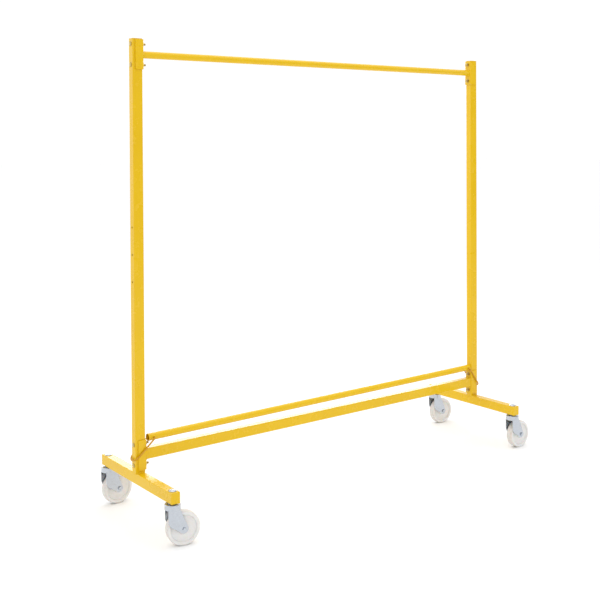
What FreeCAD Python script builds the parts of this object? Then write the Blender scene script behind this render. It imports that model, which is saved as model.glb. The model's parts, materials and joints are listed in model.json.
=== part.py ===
import FreeCAD, Part
import math
import os
import re

import Sketcher

# Rolling clothes rack, millimetres. X runs along the rack, +Y to its back, +Z up.
# The origin is on the floor, midway between the two uprights.
#
# Two uprights stand on cross feet. A round rail joins them at the top and a box
# bar at the base, each welded to U brackets that bolt round the uprights. Four
# bolt-hole swivel castors carry the feet. A loose lower rail rests on the base
# brackets: a wire bail hooked through each end of it loops round the upright.

SIZES = {
    # frame
    "span": 1774,                # between the uprights' centre lines
    "top_height": 1783,          # floor to the top of the uprights
    "upright_wide": 40,          # along X
    "upright_deep": 30,          # along Y
    "upright_wall": 2,
    "corner_radius": 2.5,        # outside corners of every box section
    "foot_length": 540,
    "foot_wide": 35,
    "foot_tall": 40,
    "foot_wall": 2,
    "plate_thick": 2,            # closing plates of feet and uprights
    "bar_tall": 40,
    "bar_deep": 30,
    "bar_wall": 2,
    "bar_rise": 45,              # foot top to the bar's underside
    "rail_dia": 27,
    "rail_wall": 1.5,
    "rail_drop": 58,             # upright top to the top rail's axis
    # brackets and their bolts
    "bracket_tall": 110,
    "bracket_sheet": 4,
    "bracket_reach": 30,         # how far a flange laps over the upright
    "bracket_gap": 0.2,          # between a flange and the upright
    "bracket_bend": 5,
    "bolt_spread": 76,
    "bolt_dia": 8,
    "bolt_long": 60,
    "bolt_hole": 9,
    "bolt_head_dia": 17,
    "bolt_head_tall": 4,
    "nut_flats": 13,
    "nut_tall": 6.5,
    "washer_dia": 16,
    "washer_thick": 1.6,
    "fastener_gap": 0.1,         # radial, between a shank and its nut or washer
    # row of accessory holes in each outer face
    "row_hole": 7,
    "row_first": 893,            # floor to the lowest hole
    "row_pitch": 100,
    # lower rail and bails
    "rail_play": 17,             # end play of the lower rail between the uprights
    "seat_gap": 0.3,             # between a moving piece and what it rests on
    "pivot_inset": 20,
    "wire_dia": 6,
    "wire_bend": 6,              # centre-line radius where the wire turns into its hook
    "bail_leg": 88,              # pivot to the start of the bail's round end
    "leg_gap": 1.3,              # between a bail's leg and the bracket flange
    "hook_depth": 5,             # how far the hook goes past the rail's wall
    # castors
    "castor_tall": 153,          # floor to the foot's underside
    "swivel_inset": 22,          # foot's end to the swivel axis
    "trail": 36,                 # swivel axis to axle
    "stem_dia": 12,
    "stem_hole": 12.5,
    "stem_head_dia": 29,
    "stem_head_tall": 5,
    "stem_nut_flats": 18,
    "stem_nut_tall": 10.8,
    "stem_end": 3.5,             # thread showing below the nut
    "pin_wall": 1.9,
    "pin_flange_dia": 30,
    "pin_flange_thick": 2,
    "thrust_washer_thick": 1.2,
    "head_dia": 57,
    "head_tall": 19.5,
    "fork_sheet": 3,
    "saddle_hole": 34,
    "fork_inside": 38,
    "leg_wide": 43,
    "boss_dia": 29,
    "heel_height": 90,           # floor to where a leg's front edge turns inwards
    "heel_cut": 16,
    "heel_inset": 7.5,
    "ball_dia": 6,
    "ball_ring_dia": 40,
    "race_thick": 3,
    "race_gap": 1.1,             # race edge to the fork head's inside wall
    "run_gap": 0.05,             # running clearance of balls and rollers
    "axle_dia": 8,
    "axle_head_tall": 5.3,
    "axle_nut_tall": 8,
    "axle_end": 2,
    "sleeve_dia": 15,
    "sleeve_bore": 8.4,
    "wheel_dia": 120,
    "wheel_wide": 32,
    "wheel_side_gap": 0.4,       # hub face to fork leg
    "wheel_edge": 10,
    "hub_dia": 36,
    "hub_bore": 23,
    "web_thick": 20,
    "hub_taper": 2,
    "rim_taper": 3,
    "rim_thick": 12,
    "roller_long": 28,
    "cage_wall": 2,
    "cage_rim": 2,               # cage beyond the rollers at each end
    # which way each castor trails at rest, in degrees from +X towards +Y
    "left_front_heading": -12,
    "left_rear_heading": 4,
    "right_front_heading": 0,
    "right_rear_heading": -4,
}
BOLT_SIDES = (-1, 1)
ROW_HOLES = 3
BALLS = 16
ROLLERS = 8

doc = FreeCAD.newDocument("rolling_clothes_rack")
sheet = doc.addObject("Spreadsheet::Sheet", "dims")
for row, (alias, size) in enumerate(SIZES.items(), start=1):
    sheet.set(f"A{row}", alias)
    sheet.set(f"B{row}", str(size))
    sheet.setAlias(f"B{row}", alias)
doc.recompute()

nodes = []

# heights and distances that several pieces share, as expressions on the sheet
BRACKET_INNER = "(upright_deep / 2 + bracket_gap)"
BRACKET_OUTER = "(upright_deep / 2 + bracket_gap + bracket_sheet)"
FOOT_TOP = "(castor_tall + foot_tall)"
BAR_AXIS = "(castor_tall + foot_tall + bar_rise + bar_tall / 2)"
RAIL_AXIS = "(top_height - rail_drop)"
UPRIGHT_X = "(span / 2)"
WEB_FACE = "(span / 2 - upright_wide / 2 - bracket_sheet)"
SWIVEL_Y = "(foot_length / 2 - swivel_inset)"
AXLE_Z = "(wheel_dia / 2)"
HEAD_LOW = "(castor_tall - pin_flange_thick - thrust_washer_thick - seat_gap - head_tall)"
HEAD_TOP = "(castor_tall - pin_flange_thick - thrust_washer_thick - seat_gap)"
RACE_TOP = f"({HEAD_TOP} - fork_sheet - ball_dia - 2 * run_gap)"
RACE_LOW = f"({RACE_TOP} - race_thick)"
PIN_RADIUS = "(stem_dia / 2 + fastener_gap + pin_wall)"


# ---------------------------------------------------------------- helpers

def bound(text):
    """An expression with each size's alias pointed at the sheet."""
    return re.sub(r"[a-z_]\w*", lambda m: "dims." + m[0] if m[0] in SIZES else m[0], text)


def value(text):
    """The present value of an expression on the sheet."""
    return float(sheet.evalExpression(bound(text)))


def place(thing, x="0", y="0", z="0", turn=None):
    """Put an object at x, y, z, each bound to the sheet, with an optional rotation."""
    if turn is not None:
        thing.Placement = FreeCAD.Placement(FreeCAD.Vector(), turn)
    for axis, text in zip("xyz", (x, y, z)):
        thing.setExpression(f".Placement.Base.{axis}", bound(text))


def turned(axis, degrees):
    return FreeCAD.Rotation(FreeCAD.Vector(*axis), degrees)


def new_body(label):
    body = doc.addObject("PartDesign::Body", label)
    body.Label = label
    return body


def origin_plane(body, role):
    return next(item for item in body.Origin.OriginFeatures if item.Role == role)


def new_sketch(body, role, offset="0"):
    """A sketch on one of the body's origin planes, moved along its normal by offset."""
    sketch = body.newObject("Sketcher::SketchObject", body.Name + "_sketch")
    sketch.AttachmentSupport = [(origin_plane(body, role), "")]
    sketch.MapMode = "FlatFace"
    sketch.setExpression(".AttachmentOffset.Base.z", bound(offset))
    return sketch


def hold(sketch, kind, geometry, point, text):
    """A dimension from the sketch's origin to a point, bound to the sheet."""
    index = sketch.addConstraint(
        Sketcher.Constraint(kind, -1, 1, geometry, point, value(text)))
    sketch.setExpression(f"Constraints[{index}]", bound(text))


def draw_polygon(sketch, corners):
    """A closed outline through corners, each a pair of expressions."""
    first = sketch.GeometryCount
    points = [FreeCAD.Vector(value(x), value(y), 0) for x, y in corners]
    count = len(points)
    for i in range(count):
        sketch.addGeometry(Part.LineSegment(points[i], points[(i + 1) % count]), False)
    for i in range(count):
        here = first + i
        after = first + (i + 1) % count
        sketch.addConstraint(Sketcher.Constraint("Coincident", here, 2, after, 1))
        hold(sketch, "DistanceX", here, 1, corners[i][0])
        hold(sketch, "DistanceY", here, 1, corners[i][1])


def draw_box(sketch, wide, tall, x="0", y="0"):
    """A rectangle of the given width and height, centred at x, y."""
    draw_polygon(sketch, [(f"{x} + {sx} * ({wide}) / 2", f"{y} + {sy} * ({tall}) / 2")
                          for sx, sy in ((-1, -1), (1, -1), (1, 1), (-1, 1))])


def draw_circle(sketch, dia, x="0", y="0"):
    centre = FreeCAD.Vector(value(x), value(y), 0)
    circle = Part.Circle(centre, FreeCAD.Vector(0, 0, 1), value(dia) / 2)
    index = sketch.addGeometry(circle, False)
    size = sketch.addConstraint(Sketcher.Constraint("Diameter", index, value(dia)))
    sketch.setExpression(f"Constraints[{size}]", bound(dia))
    hold(sketch, "DistanceX", index, 3, x)
    hold(sketch, "DistanceY", index, 3, y)


def pad(body, sketch, length, middle=False):
    feature = body.newObject("PartDesign::Pad", body.Name + "_pad")
    feature.Profile = sketch
    feature.Length = value(length)
    feature.setExpression("Length", bound(length))
    feature.Midplane = middle
    doc.recompute()
    return feature


def pocket(body, sketch, length=None, middle=False, backwards=False):
    """Cut the sketch's outline, by a length or through everything."""
    before = body.Shape.Volume
    feature = body.newObject("PartDesign::Pocket", body.Name + "_pocket")
    feature.Profile = sketch
    if length is None:
        feature.Type = "ThroughAll"
    else:
        feature.Length = value(length)
        feature.setExpression("Length", bound(length))
    feature.Midplane = middle
    feature.Reversed = backwards
    doc.recompute()
    if body.Shape.Volume > before - 1e-3:
        raise RuntimeError(f"{body.Label}: a pocket cut nothing")
    return feature


def revolve(body, sketch, axis="V_Axis"):
    feature = body.newObject("PartDesign::Revolution", body.Name + "_turned")
    feature.Profile = sketch
    feature.ReferenceAxis = (sketch, [axis])
    feature.Angle = 360
    doc.recompute()
    return feature


def round_edges(body, radius, wanted):
    """Fillet the edges of the body for which wanted(edge) holds."""
    base = body.Tip
    names = [f"Edge{i}" for i, edge in enumerate(base.Shape.Edges, start=1) if wanted(edge)]
    if not names:
        raise RuntimeError(f"{body.Label}: no edge to round")
    feature = body.newObject("PartDesign::Fillet", body.Name + "_fillet")
    feature.Base = (base, names)
    feature.Radius = value(radius)
    feature.setExpression("Radius", bound(radius))
    doc.recompute()
    return feature


def straight_along(axis):
    """True for a straight edge along the unit vector axis."""
    def test(edge):
        if not isinstance(edge.Curve, Part.Line):
            return False
        return abs(abs(edge.Curve.Direction.dot(FreeCAD.Vector(*axis))) - 1) < 1e-6
    return test


def circle_at(radius_text, axis, level_text):
    """True for a circle of that radius whose centre is at that level along axis."""
    def test(edge):
        if not isinstance(edge.Curve, Part.Circle):
            return False
        level = edge.Curve.Center.dot(FreeCAD.Vector(*axis))
        same_radius = abs(edge.Curve.Radius - value(radius_text)) < 1e-4
        return same_radius and abs(level - value(level_text)) < 1e-4
    return test


def copies(label, prototype, spots):
    """One node of identical solids: a link to the prototype at each spot."""
    links = []
    for number, (x, y, z, turn) in enumerate(spots, start=1):
        link = doc.addObject("App::Link", f"{label}_{number}")
        link.LinkedObject = prototype
        place(link, x, y, z, turn)
        links.append(link)
    group = doc.addObject("Part::Compound", label)
    group.Links = links
    group.Label = label
    nodes.append(group)
    return group


def keep(thing):
    nodes.append(thing)
    return thing


# ---------------------------------------------------------------- frame pieces

def box_tube(label, plane, wide, tall, wall, length, along, offset="0", middle=False):
    """A rounded box section of one wall, drawn on plane and padded along its normal."""
    body = new_body(label)
    outline = new_sketch(body, plane, offset)
    draw_box(outline, wide, tall)
    pad(body, outline, length, middle)
    round_edges(body, "corner_radius", straight_along(along))
    bore = new_sketch(body, plane, offset)
    draw_box(bore, f"{wide} - 2 * {wall}", f"{tall} - 2 * {wall}")
    pocket(body, bore, middle=middle, backwards=not middle)
    return body


def make_upright(label, side):
    """A box-section post, drawn as the left one; the right one is turned half round."""
    height = f"top_height - plate_thick - {FOOT_TOP}"
    body = box_tube(label, "XY_Plane", "upright_wide", "upright_deep", "upright_wall",
                    height, (0, 0, 1))
    bolts = new_sketch(body, "YZ_Plane")
    for level in (BAR_AXIS, RAIL_AXIS):
        for half in BOLT_SIDES:
            draw_circle(bolts, "bolt_hole", y=f"{level} - {FOOT_TOP} + {half} * bolt_spread / 2")
    pocket(body, bolts, middle=True)
    holes = new_sketch(body, "YZ_Plane")
    for step in range(ROW_HOLES):
        draw_circle(holes, "row_hole", y=f"row_first + {step} * row_pitch - {FOOT_TOP}")
    pocket(body, holes, "upright_wide", backwards=side > 0)
    place(body, f"{side} * {UPRIGHT_X}", "0", FOOT_TOP)
    return keep(body)


def make_foot(label, side):
    """A cross foot along Y, drilled at each end for a castor's stem."""
    body = box_tube(label, "XZ_Plane", "foot_wide", "foot_tall", "foot_wall",
                    "foot_length - 2 * plate_thick", (0, 1, 0), middle=True)
    stems = new_sketch(body, "XY_Plane")
    for end in (-1, 1):
        draw_circle(stems, "stem_hole", y=f"{end} * {SWIVEL_Y}")
    pocket(body, stems, middle=True)
    place(body, f"{side} * {UPRIGHT_X}", "0", "castor_tall + foot_tall / 2")
    return keep(body)


def make_foot_plates():
    """The plates that close the feet's ends."""
    plate = new_body("foot_plate")
    outline = new_sketch(plate, "XZ_Plane")
    draw_box(outline, "foot_wide", "foot_tall")
    pad(plate, outline, "plate_thick", middle=True)
    round_edges(plate, "corner_radius", straight_along((0, 1, 0)))
    spots = [(f"{side} * {UPRIGHT_X}", f"{end} * (foot_length - plate_thick) / 2",
              "castor_tall + foot_tall / 2", None) for side in (-1, 1) for end in (-1, 1)]
    copies("foot_end_plates", plate, spots)


def make_top_plates():
    """The plates that close the tops of the uprights."""
    plate = new_body("top_plate")
    outline = new_sketch(plate, "XY_Plane")
    draw_box(outline, "upright_wide", "upright_deep")
    pad(plate, outline, "plate_thick")
    round_edges(plate, "corner_radius", straight_along((0, 0, 1)))
    spots = [(f"{side} * {UPRIGHT_X}", "0", "top_height - plate_thick", None)
             for side in (-1, 1)]
    copies("upright_top_plates", plate, spots)


def make_bracket(label, side, level):
    """A U of bent sheet: its web on the upright's inner face, its flanges lapping it."""
    body = new_body(label)
    block = new_sketch(body, "XY_Plane")
    depth = "(bracket_sheet + bracket_reach)"
    draw_box(block, depth, f"2 * {BRACKET_OUTER}", x=f"-{depth} / 2")
    pad(body, block, "bracket_tall", middle=True)
    slot = new_sketch(body, "XY_Plane")
    draw_box(slot, "bracket_reach", f"2 * {BRACKET_INNER}",
             x="-bracket_sheet - bracket_reach / 2")
    pocket(body, slot, middle=True)
    upright_edge = straight_along((0, 0, 1))

    def bend(edge):
        return upright_edge(edge) and abs(edge.Vertexes[0].Point.x) < 1e-6

    def inner_bend(edge):
        point = edge.Vertexes[0].Point
        return (upright_edge(edge) and abs(point.x + value("bracket_sheet")) < 1e-6
                and abs(abs(point.y) - value(BRACKET_INNER)) < 1e-6)

    round_edges(body, "bracket_bend", bend)
    round_edges(body, "bracket_bend - bracket_sheet", inner_bend)
    holes = new_sketch(body, "YZ_Plane")
    for half in BOLT_SIDES:
        draw_circle(holes, "bolt_hole", y=f"{half} * bolt_spread / 2")
    pocket(body, holes, middle=True)
    turn = turned((0, 0, 1), 180) if side > 0 else None
    place(body, f"{side} * {WEB_FACE}", "0", level, turn)
    return keep(body)


def make_base_bar():
    """The box bar welded between the two base brackets."""
    body = box_tube("base_bar", "YZ_Plane", "bar_deep", "bar_tall", "bar_wall",
                    f"2 * {WEB_FACE}", (1, 0, 0), middle=True)
    place(body, z=BAR_AXIS)
    return keep(body)


def round_rail(label, length):
    """A round tube along X, centred on its own origin."""
    body = new_body(label)
    ring = new_sketch(body, "YZ_Plane")
    draw_circle(ring, "rail_dia")
    draw_circle(ring, "rail_dia - 2 * rail_wall")
    pad(body, ring, length, middle=True)
    return body


def make_top_rail():
    body = round_rail("top_rail", f"2 * {WEB_FACE}")
    place(body, z=RAIL_AXIS)
    return keep(body)


def hex_corners(flats):
    """Corners of a hexagon across flats, its flats facing along x."""
    return [(f"{flats} / sqrt(3) * sin({60 * k})", f"{flats} / sqrt(3) * cos({60 * k})")
            for k in range(6)]


def make_nut(label, flats, height, bore):
    """A hexagon nut standing on XY."""
    body = new_body(label)
    outline = new_sketch(body, "XY_Plane")
    draw_polygon(outline, hex_corners(flats))
    draw_circle(outline, bore)
    pad(body, outline, height)
    return body


def make_dome_bolt(label, dia, head_dia, head_tall, length):
    """A round-headed bolt: head on XY upwards, shank down along -Z."""
    body = new_body(label)
    profile = new_sketch(body, "XZ_Plane")
    tip = f"{dia} / 10"
    draw_polygon(profile, [
        ("0", head_tall),
        (f"{head_dia} / 2 * 0.55", head_tall),
        (f"{head_dia} / 2 * 0.85", f"{head_tall} * 0.72"),
        (f"{head_dia} / 2", f"{head_tall} * 0.3"),
        (f"{head_dia} / 2", "0"),
        (f"{dia} / 2", "0"),
        (f"{dia} / 2", f"{tip} - {length}"),
        (f"{dia} / 2 - {tip}", f"-{length}"),
        ("0", f"-{length}"),
    ])
    revolve(body, profile)
    return body


def bolt_spots(distance):
    """Frame-bolt places: along X at distance from the middle, +Z of the piece outwards."""
    spots = []
    for side in (-1, 1):
        for level in (BAR_AXIS, RAIL_AXIS):
            for half in BOLT_SIDES:
                spots.append((f"{side} * ({distance})", "0",
                              f"{level} + {half} * bolt_spread / 2",
                              turned((0, 1, 0), 90 * side)))
    return spots


def make_frame_fasteners():
    bolt = make_dome_bolt("frame_bolt", "bolt_dia", "bolt_head_dia", "bolt_head_tall",
                          "bolt_long")
    copies("frame_bolts", bolt, bolt_spots("span / 2 + upright_wide / 2"))
    washer = new_body("frame_washer")
    ring = new_sketch(washer, "XY_Plane")
    draw_circle(ring, "washer_dia")
    draw_circle(ring, "bolt_dia + 2 * fastener_gap")
    pad(washer, ring, "washer_thick")
    copies("frame_washers", washer, bolt_spots(f"{WEB_FACE} - washer_thick"))
    nut = make_nut("frame_nut", "nut_flats", "nut_tall", "bolt_dia + 2 * fastener_gap")
    copies("frame_nuts", nut, bolt_spots(f"{WEB_FACE} - washer_thick - nut_tall"))


# ---------------------------------------------------------------- lower rail and bails

def lower_rail_pose():
    """Centre and tilt of the lower rail as it rests.

    Its right end is against the right upright and lies on the base bracket's top
    edge; its left end, short of the bracket, lies on the end of the upper bolt.
    """
    left_end = value("-span / 2 + upright_wide / 2 + rail_play")
    right_end = value("span / 2 - upright_wide / 2 - seat_gap")
    lift = value("rail_dia / 2 + seat_gap")
    bolt_top = value(f"{BAR_AXIS} + bolt_spread / 2 + bolt_dia / 2")
    bracket_top = value(f"{BAR_AXIS} + bracket_tall / 2")
    bolt_end = value("-span / 2 - upright_wide / 2 + bolt_long")
    web_edge = value(WEB_FACE)
    slope = (bracket_top - bolt_top) / (web_edge - max(bolt_end, left_end))
    tilt = math.atan(slope)
    middle = (left_end + right_end) / 2
    height = bracket_top + lift / math.cos(tilt) + slope * (middle - web_edge)
    return FreeCAD.Vector(middle, 0, height), tilt


def make_lower_rail():
    body = round_rail("lower_rail", "span - upright_wide - rail_play - seat_gap")
    pivots = new_sketch(body, "XZ_Plane")
    for end in (-1, 1):
        draw_circle(pivots, "wire_dia + 2 * seat_gap",
                    x=f"{end} * ((span - upright_wide - rail_play - seat_gap) / 2"
                      " - pivot_inset)")
    pocket(body, pivots, middle=True)
    centre, tilt = lower_rail_pose()
    body.Placement = FreeCAD.Placement(centre, turned((0, 1, 0), -math.degrees(tilt)))
    return keep(body)


def pivot_point(side):
    """Where the bail's hook crosses the lower rail's axis, in the rack's frame."""
    centre, tilt = lower_rail_pose()
    reach = value("(span - upright_wide - rail_play - seat_gap) / 2 - pivot_inset")
    return centre + FreeCAD.Vector(side * reach * math.cos(tilt), 0,
                                   side * reach * math.sin(tilt))


def bail_wire():
    """The bail's centre line in its own plane: hook, leg, round end, leg, hook.

    x runs from the pivot to the round end and y across the upright.
    """
    half = value(f"{BRACKET_OUTER} + leg_gap + wire_dia / 2")
    hook = value("rail_dia / 2 - rail_wall - hook_depth")
    bend = value("wire_bend")
    leg = value("bail_leg")
    inset = bend * (1 - math.sqrt(0.5))

    def point(x, y):
        return FreeCAD.Vector(x, y, 0)

    def side_edges(sign):
        straight = Part.LineSegment(point(0, sign * hook), point(0, sign * (half - bend)))
        corner = Part.Arc(point(0, sign * (half - bend)), point(inset, sign * (half - inset)),
                          point(bend, sign * half))
        leg_line = Part.LineSegment(point(bend, sign * half), point(leg, sign * half))
        return [straight.toShape(), corner.toShape(), leg_line.toShape()]

    end = Part.Arc(point(leg, half), point(leg + half, 0), point(leg, -half)).toShape()
    return Part.Wire(side_edges(1) + [end] + side_edges(-1)[::-1]), hook


def bail_angle(pivot_x):
    """Angle below level, in degrees, at which the hanging bail meets the upright.

    The round end, seen from above, is an ellipse about the upright's outer corner;
    the angle is the steepest that leaves the seat gap between wire and corner.
    """
    half = value(f"{BRACKET_OUTER} + leg_gap + wire_dia / 2")
    leg = value("bail_leg")
    corner = value("corner_radius")
    centre = (value("span / 2 + upright_wide / 2") - corner,
              value("upright_deep / 2") - corner)
    need = value("wire_dia / 2 + seat_gap") + corner

    def clearance(angle):
        nearest = 1e9
        for step in range(181):
            turn = math.radians(step / 2)
            x = pivot_x + (leg + half * math.cos(turn)) * math.cos(angle)
            y = half * math.sin(turn)
            nearest = min(nearest, math.hypot(x - centre[0], y - centre[1]))
        return nearest

    low, high = 0.0, math.radians(85)
    for _ in range(60):
        middle = (low + high) / 2
        x_end = pivot_x + (leg + half) * math.cos(middle)
        if x_end > centre[0] + need and clearance(middle) > need:
            low = middle
        else:
            high = middle
    return math.degrees(low)


def make_bail(label, side):
    """A U of round wire swept along its centre line, hanging from the lower rail."""
    wire, hook = bail_wire()
    section = Part.Wire(Part.makeCircle(value("wire_dia") / 2,
                                        FreeCAD.Vector(0, hook, 0), FreeCAD.Vector(0, 1, 0)))
    feature = doc.addObject("Part::Feature", label)
    feature.Label = label
    feature.Shape = wire.makePipeShell([section], True, False)
    pivot = pivot_point(side)
    angle = bail_angle(abs(pivot.x))
    facing = turned((0, 0, 1), 180) if side < 0 else turned((0, 0, 1), 0)
    feature.Placement = FreeCAD.Placement(pivot, turned((0, 1, 0), side * angle) * facing)
    print(f"{label}: pivot {pivot.x:.3f}, {pivot.z:.3f}, {angle:.3f} degrees below level")
    return keep(feature)


# ---------------------------------------------------------------- castors

def stem_spots(level):
    """A place on each of the four swivel axes, at the same height."""
    return [(f"{side} * {UPRIGHT_X}", f"{end} * {SWIVEL_Y}", level, None)
            for side in (-1, 1) for end in (-1, 1)]


def ring_body(label, outer, inner, height):
    body = new_body(label)
    ring = new_sketch(body, "XY_Plane")
    draw_circle(ring, outer)
    draw_circle(ring, inner)
    pad(body, ring, height)
    return body


def make_swivel_fixings():
    """What stays with the foot on each swivel axis."""
    stem_long = f"({FOOT_TOP} - {RACE_LOW} + stem_nut_tall + stem_end)"
    bolt = make_dome_bolt("castor_bolt", "stem_dia", "stem_head_dia", "stem_head_tall",
                          stem_long)
    copies("castor_bolts", bolt, stem_spots(FOOT_TOP))

    nut = make_nut("castor_nut", "stem_nut_flats", "stem_nut_tall",
                   "stem_dia + 2 * fastener_gap")
    copies("castor_nuts", nut, stem_spots(f"{RACE_LOW} - stem_nut_tall"))

    pin = new_body("king_pin")
    profile = new_sketch(pin, "XZ_Plane")
    draw_polygon(profile, [
        ("stem_dia / 2 + fastener_gap", RACE_LOW),
        (PIN_RADIUS, RACE_LOW),
        (PIN_RADIUS, "castor_tall - pin_flange_thick"),
        ("pin_flange_dia / 2", "castor_tall - pin_flange_thick"),
        ("pin_flange_dia / 2", "castor_tall"),
        ("stem_dia / 2 + fastener_gap", "castor_tall"),
    ])
    revolve(pin, profile)
    copies("king_pins", pin, stem_spots("0"))

    race = ring_body("lower_race", "head_dia - 2 * fork_sheet - 2 * race_gap",
                     f"2 * {PIN_RADIUS} + 2 * run_gap", "race_thick")
    copies("swivel_races", race, stem_spots(RACE_LOW))

    washer = ring_body("thrust_washer", "pin_flange_dia",
                       f"2 * {PIN_RADIUS} + 2 * seat_gap", "thrust_washer_thick")
    copies("thrust_washers", washer,
           stem_spots("castor_tall - pin_flange_thick - thrust_washer_thick"))

    ball = doc.addObject("Part::Sphere", "swivel_ball")
    ball.setExpression("Radius", bound("ball_dia / 2"))
    spots = []
    for x, y, _, _ in stem_spots("0"):
        for number in range(BALLS):
            angle = 360 / BALLS * number
            spots.append((f"{x} + ball_ring_dia / 2 * cos({angle})",
                          f"{y} + ball_ring_dia / 2 * sin({angle})",
                          f"{RACE_TOP} + run_gap + ball_dia / 2", None))
    copies("swivel_balls", ball, spots)


def castor_place(thing, castor, along, across, up, turn=None):
    """Place a piece on a castor: along its heading, across it, and up from the floor."""
    x, y, heading = castor
    place(thing, f"{x} + ({along}) * cos({heading}) - ({across}) * sin({heading})",
          f"{y} + ({along}) * sin({heading}) + ({across}) * cos({heading})", up,
          castor_turn(castor, turn))


def castor_turn(castor, turn=None):
    """The rotation of a castor's heading, after the piece's own turn."""
    heading = turned((0, 0, 1), value(castor[2]))
    return heading if turn is None else heading * turn


def make_fork(label, castor):
    """A pressed fork: a cupped head with a leg each side down to the axle bosses."""
    body = new_body(label)
    cup = new_sketch(body, "XZ_Plane")
    outer = "head_dia / 2"
    throat = f"({PIN_RADIUS} + 2 * seat_gap)"
    draw_polygon(cup, [
        ("saddle_hole / 2", HEAD_LOW),
        (outer, HEAD_LOW),
        (outer, HEAD_TOP),
        (throat, HEAD_TOP),
        (throat, f"{HEAD_TOP} - fork_sheet"),
        (f"{outer} - fork_sheet", f"{HEAD_TOP} - fork_sheet"),
        (f"{outer} - fork_sheet", f"{HEAD_LOW} + fork_sheet"),
        ("saddle_hole / 2", f"{HEAD_LOW} + fork_sheet"),
    ])
    revolve(body, cup)
    round_edges(body, "fork_sheet", circle_at(outer, (0, 0, 1), HEAD_TOP))

    leg = new_sketch(body, "XZ_Plane", "fork_inside / 2")
    lean = f"atan((trail + boss_dia / 2 - leg_wide / 2) / ({HEAD_LOW} - {AXLE_Z}))"
    slope = ("atan((heel_height - heel_cut - wheel_dia / 2 + boss_dia / 2)"
             " / (trail + leg_wide / 2 - heel_inset))")
    draw_polygon(leg, [
        ("-leg_wide / 2", f"{HEAD_LOW} + fork_sheet"),
        ("leg_wide / 2", f"{HEAD_LOW} + fork_sheet"),
        ("leg_wide / 2", HEAD_LOW),
        (f"trail + boss_dia / 2 * cos({lean})", f"{AXLE_Z} + boss_dia / 2 * sin({lean})"),
        (f"trail - boss_dia / 2 * sin({slope})", f"{AXLE_Z} - boss_dia / 2 * cos({slope})"),
        ("heel_inset - leg_wide / 2", "heel_height - heel_cut"),
        ("-leg_wide / 2", "heel_height"),
    ])
    leg_pad = pad(body, leg, "fork_sheet")
    boss = new_sketch(body, "XZ_Plane", "fork_inside / 2")
    draw_circle(boss, "boss_dia", "trail", AXLE_Z)
    boss_pad = pad(body, boss, "fork_sheet")
    mirror = body.newObject("PartDesign::Mirrored", label + "_mirror")
    mirror.Originals = [leg_pad, boss_pad]
    mirror.MirrorPlane = (origin_plane(body, "XZ_Plane"), [""])
    body.Tip = mirror
    doc.recompute()
    hole = new_sketch(body, "XZ_Plane")
    draw_circle(hole, "axle_dia + 2 * fastener_gap", "trail", AXLE_Z)
    pocket(body, hole, middle=True)
    castor_place(body, castor, "0", "0", "0")
    return keep(body)


def make_axle_parts(label, castor):
    """Bolt, nut and spacer sleeve of one wheel, all on the axle's line along Y."""
    leg_face = "(fork_inside / 2 + fork_sheet)"
    front = turned((1, 0, 0), 90)

    bolt = new_body(label + "_axle_bolt")
    head = new_sketch(bolt, "XY_Plane")
    draw_polygon(head, hex_corners("nut_flats"))
    pad(bolt, head, "axle_head_tall")
    shank = new_sketch(bolt, "XY_Plane")
    draw_circle(shank, "axle_dia")
    shank_pad = pad(bolt, shank, f"2 * {leg_face} + axle_nut_tall + axle_end")
    shank_pad.Reversed = True
    castor_place(bolt, castor, "trail", f"-{leg_face}", AXLE_Z, front)
    keep(bolt)

    nut = make_nut(label + "_axle_nut", "nut_flats", "axle_nut_tall",
                   "axle_dia + 2 * fastener_gap")
    castor_place(nut, castor, "trail", f"{leg_face} + axle_nut_tall", AXLE_Z, front)
    keep(nut)

    sleeve = ring_body(label + "_axle_sleeve", "sleeve_dia", "sleeve_bore", "fork_inside")
    castor_place(sleeve, castor, "trail", "fork_inside / 2", AXLE_Z, front)
    keep(sleeve)


def make_wheel(label, castor):
    """A one-piece nylon wheel turned about Y: hub, recessed web and rounded rim."""
    body = new_body(label)
    profile = new_sketch(body, "XY_Plane")
    hub_half = "(fork_inside / 2 - wheel_side_gap)"
    side = [
        ("hub_bore / 2", hub_half),
        ("hub_dia / 2", hub_half),
        ("hub_dia / 2 + hub_taper", "web_thick / 2 + hub_taper"),
        ("wheel_dia / 2 - rim_thick - rim_taper", "web_thick / 2"),
        ("wheel_dia / 2 - rim_thick", "wheel_wide / 2"),
        ("wheel_dia / 2", "wheel_wide / 2"),
    ]
    mirrored = [(radius, f"-({level})") for radius, level in side]
    draw_polygon(profile, side + mirrored[::-1])
    revolve(body, profile)
    for level in ("wheel_wide / 2", "-wheel_wide / 2"):
        round_edges(body, "wheel_edge", circle_at("wheel_dia / 2", (0, 1, 0), level))
    castor_place(body, castor, "trail", "0", AXLE_Z)
    return keep(body)


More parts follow.
